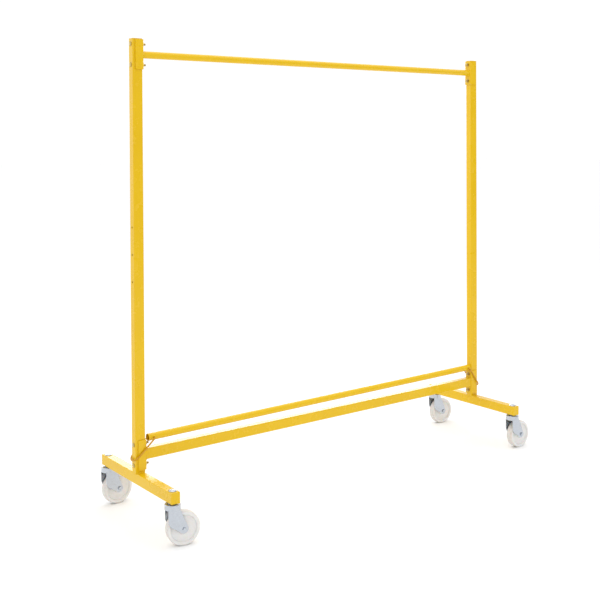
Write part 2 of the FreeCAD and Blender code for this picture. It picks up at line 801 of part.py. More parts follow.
def make_roller_bearing(label, castor):
    """Plain rollers in a slotted cage, between the sleeve and the hub."""
    roller_dia = "((hub_bore - sleeve_dia) / 2 - 2 * run_gap)"
    pitch = "((hub_bore + sleeve_dia) / 4)"
    front = turned((1, 0, 0), 90)

    cage = ring_body(label + "_roller_cage", f"2 * {pitch} + cage_wall",
                     f"2 * {pitch} - cage_wall", "roller_long + 2 * cage_rim")
    slot = new_sketch(cage, "XZ_Plane")
    draw_box(slot, f"{roller_dia} + 4 * run_gap", "roller_long + 4 * run_gap",
             y="roller_long / 2 + cage_rim")
    cut = pocket(cage, slot, "hub_bore")
    ring = cage.newObject("PartDesign::PolarPattern", label + "_slots")
    ring.Originals = [cut]
    ring.Axis = (next(item for item in cage.Origin.OriginFeatures if item.Role == "Z_Axis"),
                 [""])
    ring.Angle = 360
    ring.Occurrences = ROLLERS
    cage.Tip = ring
    castor_place(cage, castor, "trail", "roller_long / 2 + cage_rim", AXLE_Z, front)
    keep(cage)

    roller = new_body(label + "_roller")
    rod = new_sketch(roller, "XY_Plane")
    draw_circle(rod, roller_dia)
    pad(roller, rod, "roller_long")
    x, y, heading = castor
    spots = []
    for number in range(ROLLERS):
        angle = 360 / ROLLERS * number + 90
        along = f"(trail + {pitch} * cos({angle}))"
        across = "(roller_long / 2)"
        spots.append((f"{x} + {along} * cos({heading}) - {across} * sin({heading})",
                      f"{y} + {along} * sin({heading}) + {across} * cos({heading})",
                      f"{AXLE_Z} + {pitch} * sin({angle})", castor_turn(castor, front)))
    copies(label + "_rollers", roller, spots)


def make_castor(label, side, end):
    castor = (f"{side} * {UPRIGHT_X}", f"{end} * {SWIVEL_Y}", label + "_heading")
    make_fork(label + "_fork", castor)
    make_axle_parts(label, castor)
    make_roller_bearing(label, castor)
    make_wheel(label + "_wheel", castor)


# ---------------------------------------------------------------- the rack

for side_name, side_sign in (("left", -1), ("right", 1)):
    make_upright(side_name + "_upright", side_sign)
    make_foot(side_name + "_foot", side_sign)
    make_bracket(side_name + "_top_bracket", side_sign, RAIL_AXIS)
    make_bracket(side_name + "_base_bracket", side_sign, BAR_AXIS)
make_foot_plates()
make_top_plates()
make_top_rail()
make_base_bar()
make_frame_fasteners()
make_lower_rail()
make_bail("left_bail", -1)
make_bail("right_bail", 1)
make_swivel_fixings()
for side_name, side_sign in (("left", -1), ("right", 1)):
    for end_name, end_sign in (("front", -1), ("rear", 1)):
        make_castor(f"{side_name}_{end_name}", side_sign, end_sign)

doc.recompute()
for item in doc.Objects:
    if "Invalid" in item.State or "Error" in item.State:
        raise RuntimeError(f"{item.Label} failed: {item.State}")
for node in nodes:
    if node.Shape.isNull() or not node.Shape.isValid():
        raise RuntimeError(f"{node.Label} has a bad shape")

os.makedirs("parts", exist_ok=True)
for node in nodes:
    node.Shape.exportStep(f"parts/{node.Label}.step")
    print(node.Label, len(node.Shape.Solids), round(node.Shape.Volume, 1))
print("nodes", len(nodes))
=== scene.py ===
import json
import math

import bmesh
import bpy
import numpy as np
from mathutils import Matrix, Vector


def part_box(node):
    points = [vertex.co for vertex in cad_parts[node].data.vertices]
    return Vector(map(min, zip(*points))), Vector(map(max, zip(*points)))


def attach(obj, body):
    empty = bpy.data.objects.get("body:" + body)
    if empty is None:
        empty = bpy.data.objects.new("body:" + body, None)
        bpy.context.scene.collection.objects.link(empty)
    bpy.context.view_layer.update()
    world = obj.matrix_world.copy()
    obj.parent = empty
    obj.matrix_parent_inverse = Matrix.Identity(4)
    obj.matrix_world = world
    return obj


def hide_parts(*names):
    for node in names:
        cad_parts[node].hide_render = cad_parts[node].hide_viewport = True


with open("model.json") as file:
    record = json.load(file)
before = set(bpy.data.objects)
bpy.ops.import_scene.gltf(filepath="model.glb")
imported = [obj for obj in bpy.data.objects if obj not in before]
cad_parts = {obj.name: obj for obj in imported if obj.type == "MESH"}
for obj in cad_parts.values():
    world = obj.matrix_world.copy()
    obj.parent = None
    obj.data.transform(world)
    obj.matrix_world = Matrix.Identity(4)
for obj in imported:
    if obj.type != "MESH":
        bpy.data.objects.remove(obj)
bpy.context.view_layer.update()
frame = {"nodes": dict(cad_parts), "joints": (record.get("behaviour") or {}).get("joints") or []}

# Rolling clothes rack, metres. X runs along the rack, -Y is its front, Z is up.
#
# The CAD pieces are the frame. Each one is either kept and given its material, or
# replaced by a finer piece: tubes, brackets and forks with their edges rounded,
# turned bolts, nuts with chamfers, moulded wheels, bent wire and weld beads.

NODES = frame["nodes"]
JOINTS = {joint["name"]: joint for joint in frame["joints"]}
SIDES = {"left": -1, "right": 1}
CASTORS = ["left_front", "left_rear", "right_front", "right_rear"]
TURN = 2 * math.pi


def centre_of(node):
    low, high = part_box(node)
    return (np.array(low) + np.array(high)) / 2


def size_of(node):
    low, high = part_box(node)
    return np.array(high) - np.array(low)


# sizes read off the frame
FOOT_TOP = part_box("left_foot")[1][2]
FOOT_WIDE = size_of("left_foot")[0]
UPRIGHT_X = centre_of("right_upright")[0]
UPRIGHT_WIDE, UPRIGHT_DEEP = size_of("right_upright")[:2]
BRACKET_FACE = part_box("base_bar")[1][0]
BAR_AXIS = centre_of("base_bar")[2]
BAR_DEEP, BAR_TALL = size_of("base_bar")[1:]
RAIL_AXIS = centre_of("top_rail")[2]
RAIL_RADIUS = size_of("top_rail")[2] / 2
WHEEL_RADIUS = size_of("right_front_wheel")[2] / 2
HUB_HALF = size_of("right_front_wheel")[1] / 2

# sizes of details, as the frame's own
BRACKET_SHEET = 0.004
RAIL_WALL = 0.0015
BOLT_SPREAD = 0.076
BOLT_RADIUS = 0.004
BOLT_LONG = 0.060
BOLT_HEAD_RADIUS = 0.0085
BOLT_HEAD_TALL = 0.004
BOLT_PITCH = 0.00125
HEAD_EDGE = 0.0003
THREAD_DEPTH = 0.55  # of the pitch
THREAD_TIP = 0.0006
THREAD_CLEARANCE = 0.0001
NUT_FLATS = 0.013
NUT_TALL = 0.0065
NUT_SLOPE = 0.6  # fall of a corner's chamfer to its width
BORE_CHAMFER = 0.0004
WASHER_RADIUS = 0.008
WASHER_THICK = 0.0016
WASHER_BORE_EDGE = 0.0002
WASHER_RIM_EDGE = 0.0003
CAP_RADIUS = 0.0145
CAP_TALL = 0.005
STEM_RADIUS = 0.006
FORK_HALF = 0.022
AXLE_RADIUS = 0.004
AXLE_HEAD_TALL = 0.0053
AXLE_HEAD_DISH = 0.0004
AXLE_NUT_TALL = 0.008
AXLE_NUT_COLLAR = 0.0022
COLLAR_CHAMFER = 0.0008
COLLAR_BORE_CHAMFER = 0.0006
AXLE_PAST_NUT = 0.002
AXLE_THREAD = 0.014
HUB_RADIUS = 0.018
HUB_BORE = 0.0115
HUB_DRAFT = 0.0015
WHEEL_SIDE_HALF = 0.016
WHEEL_WEB_HALF = 0.010
RIM_INNER = 0.048
RIM_DRAFT = 0.002
TREAD_SHOULDER = 0.010
TREAD_EDGE = 0.0035
TREAD_FADE = 0.0025
WIRE_RADIUS = 0.003
WIRE_BEND = 0.006
WIRE_TIP = 0.0015
BAIL_LEG = 0.088
HOOK_DEPTH = 0.005

# weld beads and rounded edges
BEAD = 0.0035
BEAD_RIPPLE = 0.0004
BEAD_PITCH = 0.0035
BEAD_WANDER = 900  # waves of the ripple's strength, in radians a metre
RING_BEAD = BEAD * 0.8
SIDE_BEAD = BEAD * 0.75
FOOT_BEAD_INSET = 0.001
SIDE_BEAD_INSET = 0.002
BAR_CORNER = 0.0025
EDGE_SOFTNESS = 0.0004
TUBE_END_SOFTNESS = 0.0003
FORK_SOFTNESS = 0.0006
TOP_PLATE_SOFTNESS = 0.0009


# ---------------------------------------------------------------- meshes

def new_mesh(name, points, faces):
    """A mesh of points (n x 3) and quads (m x 4), both arrays."""
    mesh = bpy.data.meshes.new(name)
    mesh.from_pydata(points.tolist(), [], faces.tolist())
    mesh.validate()
    return mesh


def sheet_faces(rows, columns, first=0):
    """Quads of a grid that closes on itself across its columns, row after row."""
    row, column = np.meshgrid(np.arange(rows - 1), np.arange(columns), indexing="ij")
    after = (column + 1) % columns
    corners = (row * columns + column, row * columns + after,
               (row + 1) * columns + after, (row + 1) * columns + column)
    return np.stack(corners, axis=-1).reshape(-1, 4) + first


class Shape:
    """Closed surfaces gathered for one mesh, each a grid carried by a 4 x 4 matrix."""

    def __init__(self):
        self.points, self.faces, self.count = [], [], 0

    def add(self, grid, matrix=None):
        """Add a rows x columns x 3 grid whose columns close into a ring."""
        rows, columns = grid.shape[:2]
        points = grid.reshape(-1, 3)
        if matrix is not None:
            points = points @ matrix[:3, :3].T + matrix[:3, 3]
        self.points.append(points)
        self.faces.append(sheet_faces(rows, columns, self.count))
        self.count += len(points)

    def make(self, name, material, body, replaced=(), smooth=35):
        """Make the piece; edges sharper than smooth degrees stay sharp."""
        mesh = new_mesh(name, np.concatenate(self.points), np.concatenate(self.faces))
        return finish(name, mesh, material, body, replaced, smooth)


def finish(name, mesh, material, body, replaced=(), smooth=35):
    """Weld the mesh, turn its faces outwards, and hang it on its body of the frame."""
    shape = bmesh.new()
    shape.from_mesh(mesh)
    bmesh.ops.remove_doubles(shape, verts=shape.verts, dist=1e-7)
    bmesh.ops.dissolve_degenerate(shape, edges=shape.edges, dist=1e-8)
    bmesh.ops.recalc_face_normals(shape, faces=shape.faces)
    shape.to_mesh(mesh)
    shape.free()
    mesh.shade_smooth()
    mesh.set_sharp_from_angle(angle=math.radians(smooth))
    piece = bpy.data.objects.new(name, mesh)
    bpy.context.scene.collection.objects.link(piece)
    mesh.materials.append(material)
    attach(piece, body)
    if replaced:
        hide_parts(*replaced)
    return piece


def arc(centre, radius, start, end, steps):
    """Points on a circle: centre + radius (cos t, sin t), t going from start to end degrees."""
    angle = np.radians(np.linspace(start, end, steps))
    return np.stack([centre[0] + radius * np.cos(angle), centre[1] + radius * np.sin(angle)], axis=1)


def rounded(corners, radii, steps=5):
    """An outline whose corners are rounded.

    Each corner becomes a quadratic curve (1-t)^2 a + 2t(1-t) corner + t^2 b, where a and
    b lie on the two sides at the corner's radius from it.
    """
    corners = np.asarray(corners, float)
    t = np.linspace(0, 1, steps)[:, None]
    outline = []
    for i, corner in enumerate(corners):
        if i in (0, len(corners) - 1) or radii[i] == 0:
            outline.append(corner[None])
            continue
        ends = []
        for other in (corners[i - 1], corners[i + 1]):
            side = other - corner
            reach = min(radii[i], np.linalg.norm(side) * 0.48)
            ends.append(corner + side / np.linalg.norm(side) * reach)
        outline.append((1 - t) ** 2 * ends[0] + 2 * t * (1 - t) * corner + t ** 2 * ends[1])
    return np.concatenate(outline)


def turned(profile, columns=64):
    """A turned surface about Z: (r cos u, r sin u, h) for each r, h of the profile."""
    angle = np.arange(columns) / columns * TURN
    radius, height = profile[:, 0, None], profile[:, 1, None]
    return np.stack([radius * np.cos(angle), radius * np.sin(angle),
                     height + 0 * angle], axis=-1)


def hexed(profile, flats, columns=96):
    """A turned surface cut to a hexagon: its radius is the smaller of the profile's and
    flats/2 / cos(u - nearest flat's direction)."""
    angle = np.arange(columns) / columns * TURN
    off_flat = (angle + TURN / 12) % (TURN / 6) - TURN / 12
    hexagon = flats / 2 / np.cos(off_flat)
    radius = np.minimum(profile[:, 0, None], hexagon)
    return np.stack([radius * np.cos(angle), radius * np.sin(angle),
                     profile[:, 1, None] + 0 * angle], axis=-1)


def threaded(radius, pitch, start, end, columns=32, per_turn=8):
    """A screw thread about Z: the radius falls by up to THREAD_DEPTH of the pitch, in a
    wave of height/pitch - angle/turn whose grooves are a little wider than its crests,
    and fades out within a pitch of both ends."""
    rows = int(abs(end - start) / pitch * per_turn)
    height = np.linspace(start, end, rows)[:, None]
    angle = np.arange(columns)[None] / columns * TURN
    wave = (0.5 - 0.5 * np.cos(TURN * height / pitch - angle)) ** 0.8
    fade = np.clip(np.minimum(height - min(start, end), max(start, end) - height) / pitch, 0, 1)
    shaft = radius - THREAD_DEPTH * pitch * wave * fade
    return np.stack([shaft * np.cos(angle), shaft * np.sin(angle), height + 0 * angle], axis=-1)


def swept(path, radius, columns, closed=False, up=(0, 1, 0)):
    """A round section carried along a path; radius may change from point to point.

    At each point the section's circle lies across the path's direction, on axes made
    from up and the cross product of up with the direction.
    """
    path = np.asarray(path, float)
    if closed:
        along = np.roll(path, -1, axis=0) - np.roll(path, 1, axis=0)
    else:
        along = np.gradient(path, axis=0)
    along /= np.linalg.norm(along, axis=1)[:, None]
    side = np.cross(np.asarray(up, float), along)
    side /= np.linalg.norm(side, axis=1)[:, None]
    other = np.cross(along, side)
    angle = np.arange(columns) / columns * TURN
    radius = np.broadcast_to(np.asarray(radius, float), (len(path),))[:, None, None]
    ring = side[:, None] * np.cos(angle)[None, :, None] + other[:, None] * np.sin(angle)[None, :, None]
    grid = path[:, None] + radius * ring
    return np.concatenate([grid, grid[:1]]) if closed else grid


def frame_matrix(place, up, across=(0, 0, 1)):
    """A 4 x 4 matrix that puts Z along up, X as near across as it can be, origin at place."""
    up = np.asarray(up, float) / np.linalg.norm(up)
    across = np.asarray(across, float)
    first = across - across.dot(up) * up
    first /= np.linalg.norm(first)
    matrix = np.eye(4)
    matrix[:3, 0], matrix[:3, 1], matrix[:3, 2] = first, np.cross(up, first), up
    matrix[:3, 3] = place
    return matrix


# ---------------------------------------------------------------- materials

class Value:
    """A shader socket with arithmetic: an expression on it adds Math nodes."""

    def __init__(self, surface, socket):
        self.surface, self.socket = surface, socket

    def maths(self, operation, first, second):
        return self.surface.node("Math", {"operation": operation}, {0: first, 1: second})

    def __add__(self, other):
        return self.maths("ADD", self, other)

    def __sub__(self, other):
        return self.maths("SUBTRACT", self, other)

    def __rsub__(self, other):
        return self.maths("SUBTRACT", other, self)

    def __mul__(self, other):
        return self.maths("MULTIPLY", self, other)

    __radd__, __rmul__ = __add__, __mul__


class Surface:
    """A material on a Principled shader, with one method that makes any other node.
    Its slot is the record's name for the finish, which two colourings of it share: two tints of the
    zinc, and for the powder coat the frame's colour plus a darker copy whose extra depth is painted
    shade on the thin wire."""

    def __init__(self, name, **constants):
        self.material = bpy.data.materials.new(name)
        self.material["slot"] = name
        self.material.use_nodes = True
        self.tree = self.material.node_tree
        self.shader = self.tree.nodes["Principled BSDF"]
        self.place = self.node("TexCoord", output="Object")
        self.set(**constants)

    def node(self, kind, settings=None, inputs=None, output=0):
        made = self.tree.nodes.new("ShaderNode" + kind)
        for name, setting in (settings or {}).items():
            setattr(made, name, setting)
        for name, item in (inputs or {}).items():
            self.feed(made.inputs[name], item)
        return Value(self, made.outputs[output])

    def feed(self, socket, item):
        if isinstance(item, Value):
            self.tree.links.new(item.socket, socket)
        else:
            socket.default_value = item

    def set(self, **sockets):
        """Give the shader's sockets their values or links: base_color for Base Color."""
        for name, item in sockets.items():
            label = name.replace("_", " ").title().replace("Ior", "IOR")
            self.feed(self.shader.inputs[label], item)

    def noise(self, scale, detail=2.0, roughness=0.5, stretch=None):
        """Noise of 0 to 1 with scale features a metre; stretch scales its three axes."""
        where = self.place
        if stretch is not None:
            where = self.node("VectorMath", {"operation": "MULTIPLY"},
                              {0: where, 1: stretch})
        return self.node("TexNoise", {}, {"Vector": where, "Scale": scale, "Detail": detail,
                                          "Roughness": roughness})

    def mask(self, value, low, high):
        """0 below low, 1 above high, smooth between."""
        return self.node("MapRange", {"interpolation_type": "SMOOTHSTEP"},
                         {"Value": value, "From Min": low, "From Max": high})

    def mix(self, factor, first, second):
        return self.node("Mix", {"data_type": "RGBA"}, {0: factor, 6: first, 7: second}, 2)

    def bump(self, height, distance):
        return self.node("Bump", {}, {"Height": height, "Distance": distance})


def powder_coat(thin, thick):
    """Gloss powder coat: fine orange peel, a slight change of tone from thin to thick
    coat, a few dull rubbed patches and specks of dust in the film."""
    coat = Surface("yellow_powder_coat", coat_roughness=0.08, ior=1.38)
    tone = coat.noise(6.0, 3.0)
    rubbed = coat.mask(coat.noise(38.0, 5.0, 0.62), 0.56, 0.74)
    specks = coat.mask(coat.noise(900.0, 1.0), 0.74, 0.80)
    colour = coat.mix(tone, thin, thick)
    colour = coat.mix(rubbed * 0.12, colour, (0.86, 0.60, 0.10, 1))
    colour = coat.mix(specks * 0.35, colour, (0.50, 0.29, 0.02, 1))
    peel = coat.noise(520.0, 2.0, 0.4)
    ripple = coat.noise(70.0, 2.0)
    coat.set(base_color=colour,
             roughness=0.24 + rubbed * 0.16 + tone * 0.06,
             coat_weight=0.09 - rubbed * 0.07,
             normal=coat.bump(peel * 0.6 + ripple * 0.8 + specks * 0.3, 0.00012))
    return coat.material


def zinc_plate(dark, light):
    """Bright zinc plate: mottled metal with drawing lines and duller spots."""
    zinc = Surface("zinc_plate", metallic=1.0)
    mottle = zinc.noise(160.0, 4.0, 0.6)
    bloom = zinc.mask(zinc.noise(45.0, 4.0), 0.48, 0.70)
    lines = zinc.noise(420.0, 2.0, 0.5, stretch=(1.0, 1.0, 0.08))
    colour = zinc.mix(mottle, dark, light)
    colour = zinc.mix(bloom * 0.25, colour, (0.50, 0.52, 0.55, 1))
    zinc.set(base_color=colour,
             roughness=0.11 + bloom * 0.10 + lines * 0.08,
             normal=zinc.bump(mottle * 0.5 + lines * 0.7, 0.00008))
    return zinc.material


def bearing_steel():
    """Polished hardened steel with a thin uneven film of oil."""
    steel = Surface("bearing_steel", metallic=1.0)
    film = steel.noise(300.0, 3.0)
    steel.set(base_color=steel.mix(film, (0.42, 0.42, 0.44, 1), (0.62, 0.62, 0.64, 1)),
              roughness=0.12 + film * 0.14)
    return steel.material


def bearing_plastic():
    """Dark moulded plastic, slightly mottled and grained."""
    plastic = Surface("bearing_plastic", ior=1.46)
    grain = plastic.noise(1100.0, 2.0)
    plastic.set(base_color=plastic.mix(grain, (0.018, 0.018, 0.020, 1), (0.035, 0.035, 0.037, 1)),
                roughness=0.45 + grain * 0.15,
                normal=plastic.bump(grain, 0.00005))
    return plastic.material


def nylon():
    """Moulded white nylon: milky, satin, faint flow marks, and floor dirt rubbed into
    the tread where the piece's tread attribute is 1."""
    white = Surface("white_nylon", subsurface_weight=0.12, subsurface_scale=0.004, ior=1.53)
    flow = white.noise(55.0, 4.0, 0.55)
    tread = white.node("Attribute", {"attribute_name": "tread"}, output="Fac")
    grime = tread * white.mask(white.noise(90.0, 6.0, 0.7), 0.35, 0.75)
    colour = white.mix(flow, (0.68, 0.67, 0.65, 1), (0.80, 0.79, 0.775, 1))
    colour = white.mix(tread * 0.4, colour, (0.62, 0.57, 0.50, 1))
    colour = white.mix(grime * 0.4, colour, (0.40, 0.36, 0.31, 1))
    scuff = white.noise(600.0, 3.0)
    white.set(base_color=colour,
              roughness=0.38 + flow * 0.10 + grime * 0.25,
              normal=white.bump(flow * 0.6 + scuff * 0.5, 0.00010))
    return white.material


YELLOW = powder_coat((0.72, 0.44, 0.001, 1), (0.79, 0.51, 0.002, 1))
# The wire's powder coat is a darker copy of the frame's: painted shade, standing in for the shading
# the thin wire takes, not a colour of its own.
WIRE_YELLOW_PAINTED_SHADE = powder_coat((0.50, 0.24, 0.003, 1), (0.60, 0.30, 0.005, 1))
ZINC = zinc_plate((0.44, 0.47, 0.52, 1), (0.58, 0.62, 0.67, 1))
GOLD_ZINC = zinc_plate((0.42, 0.31, 0.10, 1), (0.60, 0.46, 0.17, 1))
STEEL = bearing_steel()
PLASTIC = bearing_plastic()
NYLON = nylon()


# ---------------------------------------------------------------- tubes, brackets, forks

def softened(node, material, body, radius=EDGE_SOFTNESS):
    """A finer copy of a CAD piece: triangles that lie within half a degree of each other
    are joined up, and edges sharper than 40 degrees are rounded by a bevel."""
    mesh = NODES[node].data.copy()
    mesh.materials.clear()
    shape = bmesh.new()
    shape.from_mesh(mesh)
    bmesh.ops.remove_doubles(shape, verts=shape.verts, dist=1e-6)
    bmesh.ops.dissolve_limit(shape, angle_limit=math.radians(0.5), verts=shape.verts,
                             edges=shape.edges, delimit=set())
    shape.to_mesh(mesh)
    shape.free()
    piece = finish(node + "_finish", mesh, material, body, [node], smooth=30)
    edge = piece.modifiers.new("edges", "BEVEL")
    edge.width = radius
    edge.segments = 2
    edge.limit_method = "ANGLE"
    edge.angle_limit = math.radians(40)
    edge.use_clamp_overlap = False
    edge.harden_normals = False
    normals = piece.modifiers.new("normals", "WEIGHTED_NORMAL")
    normals.keep_sharp = False
    return piece


def make_tubes():
    """The box tubes, brackets and end plates of the frame, and the loose lower rail."""
    for side in SIDES:
        for part in ("_upright", "_foot", "_top_bracket", "_base_bracket"):
            softened(side + part, YELLOW, "frame")
    for node in ("base_bar", "foot_end_plates"):
        softened(node, YELLOW, "frame")
    softened("upright_top_plates", YELLOW, "frame", radius=TOP_PLATE_SOFTNESS)
    softened("lower_rail", YELLOW, "lower_rail", radius=TUBE_END_SOFTNESS)


def make_top_rail():
    """A round tube about X: a ring section whose wall is the profile's closed loop."""
    outer, inner = RAIL_RADIUS, RAIL_RADIUS - RAIL_WALL
    end = BRACKET_FACE
    wall = rounded([(outer, 0), (outer, end), (inner, end), (inner, -end), (outer, -end), (outer, 0)],
                   [0] + [TUBE_END_SOFTNESS] * 4 + [0])
    rail = Shape()
    rail.add(turned(wall, 96), frame_matrix((0, 0, RAIL_AXIS), (1, 0, 0)))
    rail.make("top_rail_tube", YELLOW, "frame", ["top_rail"])


# ---------------------------------------------------------------- weld beads

def bead(path, closed, radius=BEAD, up=(0, 0, 1)):
    """A weld bead: a round section along a path. Its radius ripples as a sine of the
    distance along it, more and less strongly by a second sine, and at an open bead's
    ends it tapers to nothing as the root of the distance."""
    path = np.asarray(path, float)
    steps = np.linalg.norm(np.diff(path, axis=0), axis=1)
    distance = np.concatenate([[0], np.cumsum(steps)])
    strength = 0.8 + 0.2 * np.sin(distance * BEAD_WANDER)
    size = radius + BEAD_RIPPLE * np.sin(TURN * distance / BEAD_PITCH) * strength
    if not closed:
        end = np.minimum(distance, distance[-1] - distance)
        size = size * np.sqrt(np.clip(end / (1.5 * radius), 0.0004, 1))
    return swept(path, size, 14, closed, up)


def box_path(wide, tall, corner, count=240):
    """A rounded rectangle: for each of count angles a point of the inner rectangle, as a
    superellipse of power 14, plus a step of the corner's radius at that angle."""
    angle = np.arange(count) / count * TURN
    power = 2 / 14
    x = np.sign(np.cos(angle)) * np.abs(np.cos(angle)) ** power * (wide / 2 - corner)
    y = np.sign(np.sin(angle)) * np.abs(np.sin(angle)) ** power * (tall / 2 - corner)
    return np.stack([x + corner * np.cos(angle), y + corner * np.sin(angle)], axis=1)


def make_welds():
    """Beads round the rail's and the bar's ends, and along the four sides of each
    upright's foot, each with its centre line a share of BEAD off the faces it joins."""
    turn = np.arange(160) / 160 * TURN
    loop = box_path(BAR_DEEP, BAR_TALL, BAR_CORNER)
    for side, sign in SIDES.items():
        welds = Shape()
        face = sign * (BRACKET_FACE - BEAD * 0.25)
        ring = np.stack([face + 0 * turn, RAIL_RADIUS * np.cos(turn),
                         RAIL_AXIS + RAIL_RADIUS * np.sin(turn)], axis=1)
        welds.add(bead(ring, True, RING_BEAD, up=(1, 0, 0)))
        ring = np.stack([face + 0 * loop[:, 0], loop[:, 0], BAR_AXIS + loop[:, 1]], axis=1)
        welds.add(bead(ring, True, RING_BEAD, up=(1, 0, 0)))
        for front in (-1, 1):
            x = np.linspace(-1, 1, 90) * (FOOT_WIDE / 2 - FOOT_BEAD_INSET)
            line = np.stack([sign * UPRIGHT_X + x, 0 * x + front * UPRIGHT_DEEP / 2,
                             0 * x + FOOT_TOP + BEAD * 0.2], axis=1)
            welds.add(bead(line, False))
            y = np.linspace(-1, 1, 80) * (UPRIGHT_DEEP / 2 - SIDE_BEAD_INSET)
            line = np.stack([0 * y + sign * UPRIGHT_X + front * FOOT_WIDE / 2, y,
                             0 * y + FOOT_TOP - BEAD * 0.2], axis=1)
            welds.add(bead(line, False, SIDE_BEAD))
        welds.make(side + "_weld_beads", YELLOW, "frame", smooth=60)


# ---------------------------------------------------------------- bolts, nuts, washers

def dome_profile(radius, tall, shank, length, thread=0.0):
    """Half outline of a round-headed bolt: a squashed quarter circle over a small edge
    band, then the shank down to a chamfered tip, or to where its thread starts."""
    band = tall * 0.28
    angle = np.linspace(math.pi / 2, 0, 14)
    dome = np.stack([radius * np.cos(angle), band + (tall - band) * np.sin(angle)], axis=1)
    dome[0, 0] = 0.0
    under = np.array([(radius, band * 0.4), (radius - HEAD_EDGE, 0.0), (shank, 0.0)])
    if thread:
        return np.concatenate([dome, under, [(shank, thread - length)]])
    tip = shank * 0.25
    return np.concatenate([dome, under, [(shank, tip - length), (shank - tip, -length), (0, -length)]])


def tip_profile(radius, length):
    """Half outline of a bolt's chamfered tip, closed at the bolt's axis."""
    return np.array([(radius, THREAD_TIP - length), (radius - THREAD_TIP, -length), (0.0, -length)])


def nut_profile(flats, tall, bore, collar=0.0):
    """Half outline of a nut: chamfered at the corners top and bottom, with a round
    collar on top where collar isn't 0. Its widths are shares of the distance over flats."""
    half = flats / 2
    corner = flats / math.sqrt(3)
    slope = (corner - half) * NUT_SLOPE
    body = tall - collar
    outline = [(bore, BORE_CHAMFER), (bore + BORE_CHAMFER, 0.0), (half * 0.97, 0.0),
               (corner, slope), (corner, body - slope), (half * 0.97, body)]
    if collar:
        outline += [(half * 0.86, body), (half * 0.86, tall - COLLAR_CHAMFER), (half * 0.78, tall),
                    (bore + COLLAR_BORE_CHAMFER, tall), (bore, tall - BORE_CHAMFER)]
    else:
        outline += [(bore + BORE_CHAMFER, body), (bore, body - BORE_CHAMFER)]
    return np.array(outline + [outline[0]])


def bolt_places(distance):
    """Matrices on the eight frame bolts' axes, Z outwards, at a distance from the middle."""
    places = []
    for sign in SIDES.values():
        for level in (BAR_AXIS, RAIL_AXIS):
            for half in (-1, 1):
                places.append(frame_matrix((sign * distance, 0, level + half * BOLT_SPREAD / 2),
                                           (sign, 0, 0)))
    return places


def make_frame_fasteners():
    """The eight bolts through uprights and brackets, with their washers and nuts. Each
    is threaded past the bracket's sheet."""
    showing = BOLT_LONG - UPRIGHT_WIDE - BRACKET_SHEET
    head = dome_profile(BOLT_HEAD_RADIUS, BOLT_HEAD_TALL, BOLT_RADIUS, BOLT_LONG, showing)
    screw = threaded(BOLT_RADIUS, BOLT_PITCH, showing - BOLT_LONG, THREAD_TIP - BOLT_LONG)
    tip = tip_profile(BOLT_RADIUS, BOLT_LONG)
    bolts = Shape()
    for place in bolt_places(UPRIGHT_X + UPRIGHT_WIDE / 2):
        bolts.add(turned(head, 32), place)
        bolts.add(screw, place)
        bolts.add(turned(tip, 32), place)
    bolts.make("frame_bolts_turned", GOLD_ZINC, "frame", ["frame_bolts"])

    bore = BOLT_RADIUS + THREAD_CLEARANCE
    middle = (bore, WASHER_THICK / 2)
    section = [middle, (bore, 0), (WASHER_RADIUS, 0), (WASHER_RADIUS, WASHER_THICK),
               (bore, WASHER_THICK), middle]
    ring = rounded(section, [0, WASHER_BORE_EDGE, WASHER_RIM_EDGE, WASHER_RIM_EDGE,
                             WASHER_BORE_EDGE, 0], 3)
    washers = Shape()
    for place in bolt_places(BRACKET_FACE - WASHER_THICK):
        washers.add(turned(ring, 64), place)
    washers.make("frame_washers_pressed", GOLD_ZINC, "frame", ["frame_washers"])

    outline = nut_profile(NUT_FLATS, NUT_TALL, bore)
    nuts = Shape()
    for place in bolt_places(BRACKET_FACE - WASHER_THICK - NUT_TALL):
        nuts.add(hexed(outline, NUT_FLATS), place)
    nuts.make("frame_nuts_chamfered", GOLD_ZINC, "frame", ["frame_nuts"], smooth=25)


def make_castor_caps():
    """The round heads on top of the feet, one on each castor's stem."""
    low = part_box("castor_bolts")[0][2]
    outline = dome_profile(CAP_RADIUS, CAP_TALL, STEM_RADIUS, FOOT_TOP - low)
    caps = Shape()
    for name in CASTORS:
        x, y = JOINTS[name + "_swivel"]["pos_m"][:2]
        caps.add(turned(outline, 64), frame_matrix((x, y, FOOT_TOP), (0, 0, 1), (1, 0, 0)))
    caps.make("castor_bolts_turned", ZINC, "frame", ["castor_bolts"])


# ---------------------------------------------------------------- castors

def wheel_profile():
    """Section of the wheel as a closed loop of (radius, distance along the axle): a
    round-shouldered tread, a flat rim face, a sunk web and a raised hub, mirrored."""
    half = [(WHEEL_RADIUS, 0), (WHEEL_RADIUS, WHEEL_SIDE_HALF), (RIM_INNER, WHEEL_SIDE_HALF),
            (RIM_INNER - RIM_DRAFT, WHEEL_WEB_HALF), (HUB_RADIUS + HUB_DRAFT, WHEEL_WEB_HALF),
            (HUB_RADIUS, HUB_HALF), (HUB_BORE, HUB_HALF), (HUB_BORE, 0)]
    radii = [0, TREAD_SHOULDER, 0.0022, 0.003, 0.003, 0.0012, 0.0008, 0]
    outline = rounded(half, radii, 9)
    mirror = outline[::-1] * (1, -1)
    return np.concatenate([outline, mirror[1:]])


